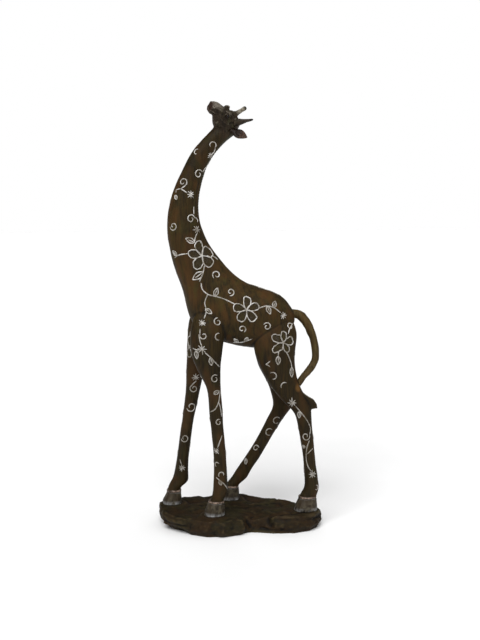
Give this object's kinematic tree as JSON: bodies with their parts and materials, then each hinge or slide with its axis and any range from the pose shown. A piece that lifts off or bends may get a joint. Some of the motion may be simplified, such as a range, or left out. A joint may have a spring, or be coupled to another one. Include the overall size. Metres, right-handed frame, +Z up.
{
  "type": "carved giraffe statue",
  "caption": "Standing giraffe carved in dark wood with a long curved neck, head raised and turned, scroll and flower carving, silvery hooves and a rough rock-shaped plinth.",
  "frame": {"origin": "middle of the bounding box on the underside of the base", "axes": "+Z up; the giraffe faces -X; its left side faces -Y"},
  "size_m": [0.236, 0.135, 0.6001],
  "materials": {
    "carved_wood": "dark brown stain, satin, rubbed with olive and rust",
    "rock_wood": "dark brown stain, rough, ridges rubbed with grey",
    "tail_wood": "brown stain rubbed with olive gold, satin",
    "ear_wood": "reddish brown stain, satin",
    "hoof_paint": "grey-green metallic wash, satin",
    "silver_paint": "pale silver paint, satin",
    "eye_bead": "black gloss",
    "dowel_wood": "plain beech, unfinished",
    "screw_steel": "zinc plated"
  },
  "bodies": {
    "root": {"base": "rock_wood", "torso": "carved_wood", "neck": "carved_wood", "head": "carved_wood", "horn_left": "carved_wood", "ear_left": "ear_wood", "eye_left": "eye_bead", "horn_right": "carved_wood", "ear_right": "ear_wood", "eye_right": "eye_bead", "leg_front_left": "carved_wood", "hoof_front_left": "hoof_paint", "band_front_left": "silver_paint", "dowel_front_left": "dowel_wood", "leg_front_right": "carved_wood", "hoof_front_right": "hoof_paint", "band_front_right": "silver_paint", "dowel_front_right": "dowel_wood", "leg_hind_left": "carved_wood", "hoof_hind_left": "hoof_paint", "band_hind_left": "silver_paint", "dowel_hind_left": "dowel_wood", "leg_hind_right": "carved_wood", "hoof_hind_right": "hoof_paint", "band_hind_right": "silver_paint", "dowel_hind_right": "dowel_wood", "dowel_neck": "dowel_wood", "dowel_head": "dowel_wood", "tail": "tail_wood", "base_screws": "screw_steel"}
  },
  "joints": []
}
